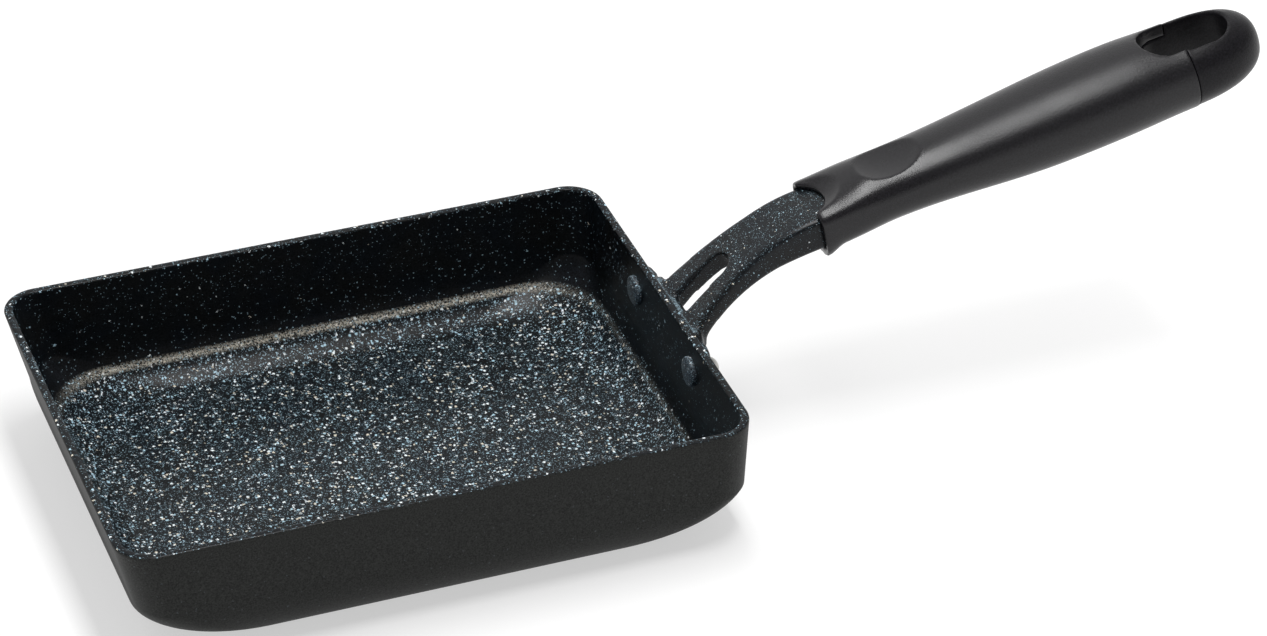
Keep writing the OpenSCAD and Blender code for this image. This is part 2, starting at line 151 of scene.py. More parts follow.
class GripSizes(PropertyGroup):
    """Sizes of the moulded grip and its end cap"""
    tilt: angle("Tilt", "Angle at which the grip rises", 12.8)
    length: length("Length", "Length of the grip with its end cap", 146)
    collar_back: length("Collar back", "From the end of the arch back to the collar", 1)
    neck_drop: length("Neck drop", "How far the neck lies below the grip's axis", 1.6)
    neck_depth: length("Neck depth", "Depth of the neck in the collar", 8)
    collar_w: length("Collar width", "Width of the collar", 24.8)
    collar_up: length("Collar height", "Height of the collar above the axis", 6.6)
    collar_down: length("Collar depth", "Depth of the collar below the axis", 8.8)
    lip_drop: length("Finger lip", "How far the finger lip stands out", 2.6)
    lip_len: length("Finger lip length", "Length of the finger lip", 6.5)
    waist_at: length("Waist place", "From the collar to the waist", 24)
    waist_w: length("Waist width", "Width of the waist", 25)
    waist_h: length("Waist height", "Height of the waist", 18.6)
    belly_at: length("Belly place", "From the collar to the widest place", 97)
    back_at: length("Back place", "From the collar to the highest place of the back", 103)
    palm_at: length("Palm place", "From the collar to the deepest place", 77)
    belly_w: length("Belly width", "Width at the thickest place", 31)
    belly_h: length("Belly height", "Height at the thickest place", 25.8)
    cap_len: length("Cap length", "Length of the end cap beyond its joint", 25)
    joint_w: length("Joint width", "Width at the joint with the end cap", 29.4)
    joint_h: length("Joint height", "Height at the joint with the end cap", 24.4)
    notch_w: length("Notch width", "Width of the notch over the neck", 17)
    notch_len: length("Notch depth", "Depth of the notch over the neck", 5.2)
    scoop_at: length("Scoop place", "From the collar to the middle of the scoop", -1)
    scoop_len: length("Scoop length", "Length of the scoop from its middle", 9.8)
    scoop_deep: length("Scoop depth", "Depth of the scoop", 2.2)
    thumb_at: length("Thumb rest place", "From the collar to the thumb rest", 25.8)
    thumb_len: length("Thumb rest length", "Length of the thumb rest", 21.4)
    thumb_deep: length("Thumb rest depth", "Depth of the thumb rest", 2.4)
    thumb_barrel: length("Thumb rest barrel", "Crosswise radius of the thumb rest", 60)
    slot_end_wall: length("Slot end wall", "Thickness of the cap behind the hang slot", 8.7)
    slot_len: length("Slot length", "Length of the hang slot", 27.8)
    slot_w: length("Slot width", "Width of the hang slot", 16)
    tongue_w: length("Tongue width", "Width of the cap's tongue", 20.6)
    tongue_h: length("Tongue height", "Height of the cap's tongue", 13.8)
    tongue_len: length("Tongue length", "Length of the cap's tongue", 24)
    tongue_edge: length("Tongue edges", "Rounding of the tongue's long edges", 2)
    screw_drop: length("Screw drop", "How far the screw lies below the axis", 0.8)
    washer_d: length("Washer bore", "Diameter of the bore for the washers", 9.6)
    seat_depth: length("Screw seat", "Depth of the washers' seat before the slot", 5.9)
    slack: length("Socket space", "Space round the neck and tongue in their sockets", 0.2)


class Finishes(PropertyGroup):
    """Colours of the finishes"""
    coat: colour("Non-stick coat", "Ground colour of the non-stick coat", "121416")
    ground_warm: colour("Warm clouds", "Tint of the coat's warmer clouds", "fff8f0")
    ground_cool: colour("Cool clouds", "Tint of the coat's cooler clouds", "dcecff")
    fleck_white: colour("White flecks", "Pale mineral flecks in the coat", "eef5f8")
    fleck_blue: colour("Blue flecks", "Pale blue flecks in the coat", "b4d4e4")
    fleck_sand: colour("Sand flecks", "Beige flecks in the coat", "dbd4c4")
    paint: colour("Outside paint", "Heat-proof paint on the outside", "1f201f")
    paint_fleck: colour("Paint flecks", "Faint flecks in the paint", "5a6064")
    phenolic: colour("Phenolic", "Moulded phenolic resin of the grip", "171619")
    aluminium: colour("Aluminium", "Bare aluminium of the rivets' domes", "b9b8b4")
    zinc: colour("Zinc plating", "Bright zinc on the screw and washers", "c4c7cc")


class StudioSettings(PropertyGroup):
    """Lights and floor"""
    key: FloatProperty(name="Key light", description="Power of the soft box", default=14.0, unit="POWER")
    back: share("Back", "Level of the studio behind the pan", 0.95)
    front: share("Front", "Level of the studio in front of the pan", 0.2)
    floor: colour("Floor", "Colour of the floor", "b8b8b8")


# Shapes

def rounded(x0, x1, y0, y1, r, steps):
    """Corner points of a rounded rectangle, anticlockwise."""
    corners = ((x1 - r, y1 - r, 0), (x0 + r, y1 - r, 90), (x0 + r, y0 + r, 180), (x1 - r, y0 + r, 270))
    return [
        (cx + r * cos(a), cy + r * sin(a))
        for cx, cy, start in corners
        for a in (radians(start + 90 * i / steps) for i in range(steps + 1))
    ]


def lerp(a, b, t):
    """The value at t on the way from a to b."""
    return a + (b - a) * t


def ease(t):
    """Soft step from 0 to 1."""
    return (1 - cos(pi * t)) / 2


def eased(x, *places):
    """The value at x, softly from place to place, each a pair of x and value, and held after the last."""
    for (x0, a), (x1, b) in zip(places, places[1:]):
        if x < x1:
            return lerp(a, b, ease((x - x0) / (x1 - x0)))
    return places[-1][1]


def power(value, exponent):
    """A power that keeps the sign."""
    return copysign(abs(value) ** exponent, value)


def ring_edges(bm, ring):
    """The edges of a closed ring of vertices."""
    return [bm.edges.get((a, b)) for a, b in zip(ring, ring[1:] + ring[:1])]


def loft(rings, bands=None):
    """A closed skin: a circle of vertices, extruded from ring to ring; bands gives each band's material."""
    bm = bmesh.new()
    ring = bmesh.ops.create_circle(bm, cap_ends=True, segments=len(rings[0]), radius=1)["verts"]
    for v, place in zip(ring, rings[0]):
        v.co = place
    for k, places in enumerate(rings[1:]):
        made = bmesh.ops.extrude_edge_only(bm, edges=ring_edges(bm, ring))["geom"]
        fresh = {g for g in made if isinstance(g, bmesh.types.BMVert)}
        ring = [next(e.other_vert(v) for e in v.link_edges if e.other_vert(v) in fresh) for v in ring]
        for v, place in zip(ring, places):
            v.co = place
        for g in made:
            if isinstance(g, bmesh.types.BMFace):
                g.material_index = bands[k] if bands else 0
    bmesh.ops.contextual_create(bm, geom=ring_edges(bm, ring))
    bmesh.ops.recalc_face_normals(bm, faces=bm.faces)
    return bm


def cylinder(r, h, matrix, segments=96):
    """A closed cylinder along its own Z axis, centred on the matrix."""
    bm = bmesh.new()
    bmesh.ops.create_cone(bm, cap_ends=True, segments=segments, radius1=r, radius2=r, depth=h, matrix=matrix)
    return bm


def block(low, high, r=0.0, matrix=Matrix()):
    """A closed block between two corners, with the edges along X rounded."""
    bm = bmesh.new()
    middle = (Vector(low) + Vector(high)) / 2
    span = Vector(high) - Vector(low)
    bmesh.ops.create_cube(bm, size=1, matrix=shift(middle) @ Matrix.Diagonal((*span, 1)))
    if r:
        along = [e for e in bm.edges if abs((e.verts[0].co - e.verts[1].co).x) > span.x / 2]
        bmesh.ops.bevel(bm, geom=along, affect="EDGES", offset=r, segments=6, profile=0.5, material=-1)
    bm.transform(matrix)
    return bm


def bar(x0, x1, w, t, middle, r=0.0, space=0.0, matrix=Matrix()):
    """A block along X, this wide and thick, with its middle at this height; space widens it to a socket."""
    w, t = w / 2 + space, t / 2 + space
    return block((x0, -w, middle - t), (x1, w, middle + t), r + space if r else 0.0, matrix)


def turned(outline, axis, steps):
    """Spin an outline round an axis through the origin, from pole to pole, into a closed shape."""
    bm = bmesh.new()
    verts = [bm.verts.new(point) for point in outline]
    edges = [bm.edges.new(pair) for pair in zip(verts, verts[1:])]
    bmesh.ops.spin(bm, geom=verts + edges, cent=(0, 0, 0), axis=axis, dvec=(0, 0, 0),
                   angle=radians(360), steps=steps, use_merge=True, use_duplicate=False)
    bmesh.ops.remove_doubles(bm, verts=bm.verts, dist=SAME_PLACE)
    bmesh.ops.recalc_face_normals(bm, faces=bm.faces)
    return bm


def joined(parts):
    """One bmesh that holds several, which are freed."""
    whole = bmesh.new()
    for part in parts:
        mesh = bpy.data.meshes.new("part")
        part.to_mesh(mesh)
        part.free()
        whole.from_mesh(mesh)
        bpy.data.meshes.remove(mesh)
    return whole


def show(name, bm):
    """Put a bmesh into the scene as an object, and free it."""
    mesh = bpy.data.meshes.new(name)
    bm.to_mesh(mesh)
    bm.free()
    made = bpy.data.objects.new(name, mesh)
    bpy.context.scene.collection.objects.link(made)
    return made


def settle(made):
    """Turn an object with its modifiers into a bmesh, and remove the object."""
    graph = bpy.context.evaluated_depsgraph_get()
    mesh = bpy.data.meshes.new_from_object(made.evaluated_get(graph))
    bm = bmesh.new()
    bm.from_mesh(mesh)
    bpy.data.meshes.remove(mesh)
    bpy.data.objects.remove(made)
    return bm


def carve(bm, tools):
    """Cut closed shapes out of another."""
    body = show("carved", bm)
    cutters = [show("cutter", tool) for tool in tools]
    for cutter in cutters:
        cut = body.modifiers.new("cut", "BOOLEAN")
        cut.operation, cut.solver, cut.object = "DIFFERENCE", "EXACT", cutter
    made = settle(body)
    for cutter in cutters:
        bpy.data.objects.remove(cutter)
    return made


def fuse(parts, voxel):
    """Make one even skin round closed shapes that may overlap."""
    body = show("fused", joined(parts))
    remesh = body.modifiers.new("remesh", "REMESH")
    remesh.mode, remesh.voxel_size, remesh.adaptivity = "VOXEL", voxel, 0
    return settle(body)


def relax(bm, passes, where=None):
    """Round off the edges, everywhere or where a place asks for it."""
    verts = [v for v in bm.verts if where is None or where(v.co)]
    for _ in range(passes):
        bmesh.ops.smooth_vert(bm, verts=verts, factor=0.5, use_axis_x=True, use_axis_y=True, use_axis_z=True)


def hand_over(name, bm, node, materials, matrix=Matrix()):
    """Finish a piece: merge, shade smooth, and let it stand for its CAD node."""
    bm.transform(matrix)
    bmesh.ops.remove_doubles(bm, verts=bm.verts, dist=SAME_PLACE)
    for f in bm.faces:
        f.smooth = True
    for e in bm.edges:
        e.smooth = e.calc_face_angle(0) < CRISP
    piece = show(name, bm)
    for material in materials:
        piece.data.materials.append(material)
    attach(piece, "root")
    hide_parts(node)


def hollow_r(half, deep):
    """Radius of a hollow that is this deep in the middle and this long to its end."""
    return (half ** 2 + deep ** 2) / (2 * deep)


# Places

def wall_place(context):
    """Outer face of the handle wall: X points out, Z runs up to the rim."""
    pan = context.scene.pan_sizes
    lean = atan(pan.handle_lean / (pan.height - pan.fillet))
    return shift((pan.rim_len / 2, 0, pan.height)) @ Matrix.Rotation(lean, 4, "Y")


def rivet_places(context):
    """Both rivets, with Z pointing out of the wall."""
    rivet = context.scene.rivet_sizes
    turn = Matrix.Rotation(radians(90), 4, "Y")
    half = rivet.span / 2
    return [wall_place(context) @ shift((0, y, -rivet.drop)) @ turn for y in (-half, half)]


def arch_centre(context):
    """The centre of the arc that the bracket's middle line follows."""
    pan, arm, grip = context.scene.pan_sizes, context.scene.bracket_sizes, context.scene.grip_sizes
    foot = grip.tilt + arm.arch_angle
    x, z = pan.rim_len / 2 + arm.foot_out, pan.height - arm.foot_drop
    return Vector((x + arm.arch_r * sin(foot), 0, z - arm.arch_r * cos(foot)))


def grip_place(context):
    """The grip's axis: X runs back from the collar, Z points up."""
    arm, grip = context.scene.bracket_sizes, context.scene.grip_sizes
    turn = Matrix.Rotation(-grip.tilt, 4, "Y")
    reach = turn @ Vector((grip.collar_back, 0, arm.arch_r + grip.neck_drop))
    return shift(arch_centre(context) + reach) @ turn


# Materials

def add(tree, kind, inputs=(), stops=(), **settings):
    """Add one node, with its inputs by name or in order, the stops of its ramp, and its settings.

    An input is a value, a node that feeds it by its first output, or a tuple of a node and an output.
    A map range's inputs are its value, the two ends that it comes from and the two that it goes to.
    """
    node = tree.nodes.new("ShaderNode" + kind)
    for key, value in settings.items():
        setattr(node, key, value)
    for key, value in inputs.items() if isinstance(inputs, dict) else enumerate(inputs):
        source, output = value if isinstance(value, tuple) else (value, 0)
        if isinstance(source, bpy.types.Node):
            tree.links.new(source.outputs[output], node.inputs[key])
        else:
            node.inputs[key].default_value = value
    if stops:
        elements = node.color_ramp.elements
        elements.remove(elements[1])
        elements[0].position, elements[0].color = stops[0]
        for at, shade in stops[1:]:
            elements.new(at).color = shade
    return node


def blank(name):
    """A material with nothing in it yet, a function that adds a node to it, and its Object coordinates."""
    material = bpy.data.materials.new(name)
    material.use_nodes = True
    material.node_tree.nodes.clear()
    node = partial(add, material.node_tree)
    return material, node, (node("TexCoord"), "Object")


def surface(material, node, height, strength, distance, finish):
    """End a material with its relief, its shader and its output."""
    relief = node("Bump", {"Height": height, "Strength": strength, "Distance": distance})
    shader = node("BsdfPrincipled", {"Normal": relief, **finish})
    node("OutputMaterial", {"Surface": shader})
    return material


def scaled(shade, level):
    """A colour made darker or lighter."""
    return [c * level for c in shade[:3]] + [1]


def flecks(node, where, amount, chips, size=1.0):
    """Chips in a share of the cells: the node that says where, and the one with their random numbers."""
    cell, least, most, soft = (value * size * MM for value in chips)
    # The cells are bent, so that the chips are ragged and not round
    warp = node("TexNoise", {"Vector": where, "Scale": 1.3 / most, "Detail": 1.0})
    centred = node("VectorMath", [(warp, "Color"), [0.5, 0.5, 0.5]], operation="SUBTRACT")
    bent = node("VectorMath", {0: centred, "Scale": 2.2 * most}, operation="SCALE")
    moved = node("VectorMath", [where, bent], operation="ADD")
    cells = node("TexVoronoi", {"Vector": moved, "Scale": 1 / cell})
    random = node("SeparateColor", [(cells, "Color")])
    chosen = node("Math", [random, amount], operation="LESS_THAN")
    reach = node("MapRange", [(random, 1), 0, 1, least / cell, most / cell])
    inside = node("Math", [reach, (cells, "Distance")], operation="SUBTRACT")
    edge = node("Math", [inside, soft / cell], operation="DIVIDE", use_clamp=True)
    return node("Math", [edge, chosen], operation="MULTIPLY"), random


def marble_coat(context, name, fine, coarse, upright, lip=None, painted_top_light=0.0, size=1.0, deep=1.0,
                roughness=0.28, gloss=0.4):
    """Sprayed PTFE non-stick coat with mineral flecks: satin charcoal, full of pale chips up to 1 mm across.

    Upright faces get only a given share of the chips, as painted shade on them. Fine and coarse are the
    shares of small and large chips, size scales both, and deep the colour of the ground.
    """
    finish = context.scene.finishes
    material, node, where = blank(name)
    facing = node("SeparateXYZ", [(node("NewGeometry"), "Normal")])
    # In this ramp, red is the share of chips that a place gets, cut on upright faces as painted shade, and
    # green a painted highlight band
    if lip:
        # On the body the chips stop at a lip half way up the fillet, as painted shade on the walls above it,
        # with a painted highlight band along the lip; the rim gets chips again
        rim = context.scene.pan_sizes.height
        measure = node("MapRange", [(node("SeparateXYZ", [where]), "Z"), 0, rim])
        levels = [
            (lip - 1.0 * MM, 1.0, 0.0), (lip - 0.4 * MM, 1.0, 0.6), (lip, 1.0, 1.0),
            (lip + 0.8 * MM, 0.9, 0.6), (lip + 1.7 * MM, upright, 0.0),
            (rim - 1.0 * MM, upright, 0.0), (rim - 0.4 * MM, 0.6, 0.0)]
        stops = [(z / rim, (held, painted_band, 0, 1)) for z, held, painted_band in levels]
    else:
        # Elsewhere level faces get all the chips, and upright faces the given share, as painted shade
        measure, stops = (facing, "Z"), [(0.42, (upright, 0, 0, 1)), (0.55, (1, 0, 0, 1))]
    painted_shade_and_highlight = node("SeparateColor", [node("ValToRGB", [measure], stops)])
    # Large chips thin out faster than small ones
    heavy = node("Math", [painted_shade_and_highlight, 2.0], operation="POWER")
    few = node("Math", [heavy, coarse], operation="MULTIPLY")
    many = node("Math", [painted_shade_and_highlight, fine], operation="MULTIPLY")
    large, tint = flecks(node, where, few, LARGE_CHIPS, size)
    small, shade = flecks(node, where, many, SMALL_CHIPS, size)
    # The ground is gritty between the chips, and clouded over a centimetre or so
    grit = node("TexNoise", {"Vector": where, "Scale": 1 / (0.5 * MM), "Detail": 2.0, "Roughness": 0.7})
    cloud = node("TexNoise", {"Vector": where, "Scale": 1 / (14 * MM), "Detail": 2.0})
    greys = [(0.35, scaled(finish.coat, 0.3 * deep)), (0.68, scaled(finish.coat, 2.0 * deep))]
    ground = node("ValToRGB", [grit], greys)
    hue = node("ValToRGB", [cloud], [(0.4, finish.ground_warm), (0.62, finish.ground_cool)])
    body = node("Mix", {0: 1.0, 6: ground, 7: hue}, data_type="RGBA", blend_type="MULTIPLY")
    faint = node("MapRange", [(shade, 2), 0, 1, 0.08, 1])
    dust = node("Math", [small, faint], operation="MULTIPLY")
    body = node("Mix", {0: dust, 6: (body, 2), 7: finish.fleck_blue}, data_type="RGBA")
    minerals = [(0.0, finish.fleck_white), (0.4, finish.fleck_blue), (0.88, finish.fleck_sand)]
    grain = node("ValToRGB", [(tint, 2)], minerals)
    grain.color_ramp.interpolation = "CONSTANT"
    body = node("Mix", {0: large, 6: (body, 2), 7: grain}, data_type="RGBA")
    painted_lights = []
    if lip:
        # A painted highlight: sand-coloured grit in a band along the lip, on faces that turn to the front,
        # as under the far wall
        far = node("MapRange", [(facing, "Y"), -0.3, -0.75, 0.1, 0.9])
        highlight_band = node("Math", [(painted_shade_and_highlight, 1), far], operation="MULTIPLY")
        painted_lights.append((highlight_band, 0.42, 0.58, finish.fleck_sand))
    if painted_top_light:
        # Faces that lie quite level get pale blue grit, as painted light on their tops
        lit_tops = node("MapRange", [(facing, "Z"), 0.985, 0.997, 0, painted_top_light])
        painted_lights.append((lit_tops, 0.4, 0.62, finish.fleck_blue))
    # Each painted light is pale grit laid where its mask says
    for light_mask, low, high, light_tint in painted_lights:
        grains = node("MapRange", [grit, low, high])
        lit_grains = node("Math", [light_mask, grains], operation="MULTIPLY")
        body = node("Mix", {0: lit_grains, 6: (body, 2), 7: light_tint}, data_type="RGBA")
    # Orange peel of the sprayed film, with the chips standing a little proud
    peel = node("TexNoise", {"Vector": where, "Scale": 1 / (0.9 * MM), "Detail": 3.0})
    proud = node("Math", [large, 0.35, peel], operation="MULTIPLY_ADD")
    return surface(material, node, proud, strength=0.5, distance=0.05 * MM, finish={
        "Base Color": (body, 2), "Roughness": roughness, "IOR": 1.38, "Specular IOR Level": gloss})


def outside_paint(context):
    """Heat-proof silicone paint, sprayed and baked: dull black, with a fine grain and faint flecks."""
    finish = context.scene.finishes
    material, node, where = blank("Heat-proof silicone paint")
    chips, _ = flecks(node, where, 0.2, PAINT_CHIPS)
    faint = node("Math", [chips, 0.55], operation="MULTIPLY")
    grit = node("TexNoise", {"Vector": where, "Scale": 1 / (0.5 * MM), "Detail": 2.0, "Roughness": 0.7})
    blacks = [(0.3, scaled(finish.paint, 0.15)), (0.7, scaled(finish.paint, 2.6))]
    ground = node("ValToRGB", [grit], blacks)
    body = node("Mix", {0: faint, 6: ground, 7: finish.paint_fleck}, data_type="RGBA")
    # Its dull skin reflects less than bare silicone does
    return surface(material, node, grit, strength=0.5, distance=0.04 * MM, finish={
        "Base Color": (body, 2), "Roughness": 0.55, "IOR": 1.42, "Specular IOR Level": 0.22})


def phenolic_resin(context, name, sheen_level, polished_to=0.0):
    """Phenolic resin, compression moulded in an etched mould: deep black, stippled, with a broad sheen.

    The mould is polished up to a place along the grip, so there the resin has a brighter, tighter highlight.
    """
    dark = context.scene.finishes.phenolic
    polished, etched, fade = 0.21, 0.29, 30 * MM
    material, node, where = blank(name)
    # The stipple is drawn twice as coarse as the real one, so that it shows
    stipple = node("TexNoise", {"Vector": where, "Scale": 1 / (0.55 * MM), "Detail": 3.0, "Roughness": 0.65})
    cloud = node("TexNoise", {"Vector": where, "Scale": 1 / (6 * MM), "Detail": 3.0})
    tone = node("ValToRGB", [stipple], [(0.3, scaled(dark, 0.4)), (0.7, scaled(dark, 1.8))])
    along = node("SeparateXYZ", [where])
    matt = node("MapRange", [(along, "X"), polished_to, polished_to + fade, polished, etched],
                interpolation_type="SMOOTHSTEP")
    rough = node("Math", [cloud, 0.1, matt], operation="MULTIPLY_ADD")
    depth = node("MapRange", [matt, polished, etched, 0.5, 1])
    return surface(material, node, stipple, strength=depth, distance=0.07 * MM, finish={
        "Base Color": tone, "Roughness": rough, "IOR": 1.6, "Specular IOR Level": sheen_level})


def bare_metal(name, base, roughness, grain_mm):
    """Bare metal with a fine irregular surface, so that its highlight breaks up."""
    material, node, where = blank(name)
    grain = node("TexNoise", {"Vector": where, "Scale": 1 / (grain_mm * MM), "Detail": 3.0})
    rough = node("MapRange", [grain, 0, 1, roughness - 0.08, roughness + 0.1])
    return surface(material, node, grain, strength=0.4, distance=0.03 * MM, finish={
        "Base Color": base, "Metallic": 1.0, "Roughness": rough})


# Pieces

class PAN_OT_body(Operator):
    """Model the coated body: sloped front wall, round fillets and a rounded rim"""
    bl_idname = "pan.body"
    bl_label = "Pan body"

    def execute(self, context):
        pan = context.scene.pan_sizes
        corner_steps, fillet_steps, rim_steps = 20, 20, 4
        wall_levels = (0.03, 0.35, 0.7, 0.97, 1)
        # The flat bottom starts as a smaller ring inside the fillet
        inside = 2 * MM

        def level(z, inset, sunk, corner):
            """Outline at one height: sunk is 0 at the rim, and 1 where the walls have leaned in fully."""
            half_x, half_y = pan.rim_len / 2 - inset, pan.rim_wid / 2 - inset - pan.side_lean * sunk
            front, back = pan.front_lean * sunk - half_x, half_x - pan.handle_lean * sunk
            flat = rounded(front, back, -half_y, half_y, corner, corner_steps)
            return [Vector((x, y, z)) for x, y in flat]

        def skin(depth, floor, fillet, r):
            """Levels of one face of the shell, from its flat bottom to just below the rim."""
            levels = [level(floor, depth + fillet + inside, 1, pan.base_corner - depth - inside)]
            for i in range(fillet_steps, -1, -1):
                a = radians(90 * i / fillet_steps)
                turn = 1 - cos(a)
                corner = lerp(pan.wall_corner, pan.base_corner, sqrt(turn)) - depth
                levels.append(level(floor + fillet * (1 - sin(a)), depth + fillet * turn, 1, corner))
            for t in wall_levels:
                z = lerp(floor + fillet, pan.height - r, t)
                levels.append(level(z, depth, 1 - t, lerp(pan.wall_corner, pan.rim_corner, t) - depth))
            return levels

        r = pan.rim_round
        outer = skin(0, 0, pan.fillet, r)
        inner = skin(pan.wall_t, pan.base_t, pan.fillet - pan.base_t, r)
        rim = []
        for i in range(1, rim_steps + 1):
            a = radians(90 * i / rim_steps)
            rim.append((pan.height - r + r * sin(a), r * (1 - cos(a))))
        rim += [(z, pan.wall_t - inset) for z, inset in reversed(rim)]
        over = [level(z, inset, 0, pan.rim_corner - inset) for z, inset in rim]
        rings = outer + over + inner[::-1]
        # The coat covers the inside and the rim, and the paint the outside up to the rounding of the rim
        painted = len(outer) + rim_steps // 2 - 1
        bands = [1 if k < painted else 0 for k in range(len(rings) - 1)]
        bm = loft(rings, bands)
        # The face that closes the loft below is painted too
        for f in bm.faces:
            if f.calc_center_median().z < pan.base_t / 3:
                f.material_index = 1
        # Above the lip the walls get few chips, as painted shade, and a painted highlight band lies along
        # the lip
        hand_over("coated_body", bm, "pan_body", [
            marble_coat(context, "Marbled PTFE coat", fine=0.68, coarse=0.4, upright=0.14,
                        lip=9.2 * MM, deep=0.9, gloss=0.2),
            outside_paint(context),
        ])
        return {"FINISHED"}


class PAN_OT_rivets(Operator):
    """Model both rivets by spinning their outline: coated heads inside and bare formed domes outside"""
    bl_idname = "pan.rivets"
    bl_label = "Rivets"

    def execute(self, context):
        pan, rivet, arm = context.scene.pan_sizes, context.scene.rivet_sizes, context.scene.bracket_sizes
        inner = -pan.wall_t / cos(atan(pan.handle_lean / (pan.height - pan.fillet)))
        head_r, head_h, dome_r = rivet.head_d / 2, rivet.head_h, hollow_r(rivet.dome_d / 2, rivet.dome_h)
        # The head's crown rises a little, and its edge is upright at first and then rounded
        crown, edge_h, edge_in, edge_up = 0.16 * head_h, 0.4 * head_h, 0.14 * head_r, 0.42 * head_h
        edge_steps, dome_steps = 6, 9
        outline = [(t * head_r, inner - head_h + crown * t * t) for t in (0, 0.2, 0.4, 0.6, 0.75)]
        for i in range(edge_steps + 1):
            a = radians(90 * i / edge_steps)
            outline.append((head_r - edge_in * (1 - sin(a)), inner - edge_h - edge_up * cos(a)))
        outline += [(head_r, inner), (rivet.shank_d / 2, inner), (rivet.shank_d / 2, arm.plate_t)]
        half = asin(min(1, rivet.dome_d / 2 / dome_r))
        for i in range(dome_steps + 1):
            a = half * (1 - i / dome_steps)
            outline.append((dome_r * sin(a), arm.plate_t + rivet.dome_h - dome_r * (1 - cos(a))))
        pair = []
        for place in rivet_places(context):
            bm = turned([(x, 0, z) for x, z in outline], (0, 0, 1), steps=64)
            for f in bm.faces:
                f.material_index = 0 if f.calc_center_median().z < inner / 2 else 1
            bm.transform(place)
            pair.append(bm)
        hand_over("rivet_pair", joined(pair), "rivets", [
            marble_coat(context, "Marbled PTFE coat on the rivets", fine=0.95, coarse=0.1, upright=1.0,
                        size=0.7, deep=6.0),
            bare_metal("Tumbled aluminium", context.scene.finishes.aluminium, roughness=0.42, grain_mm=0.5),
        ])
        return {"FINISHED"}


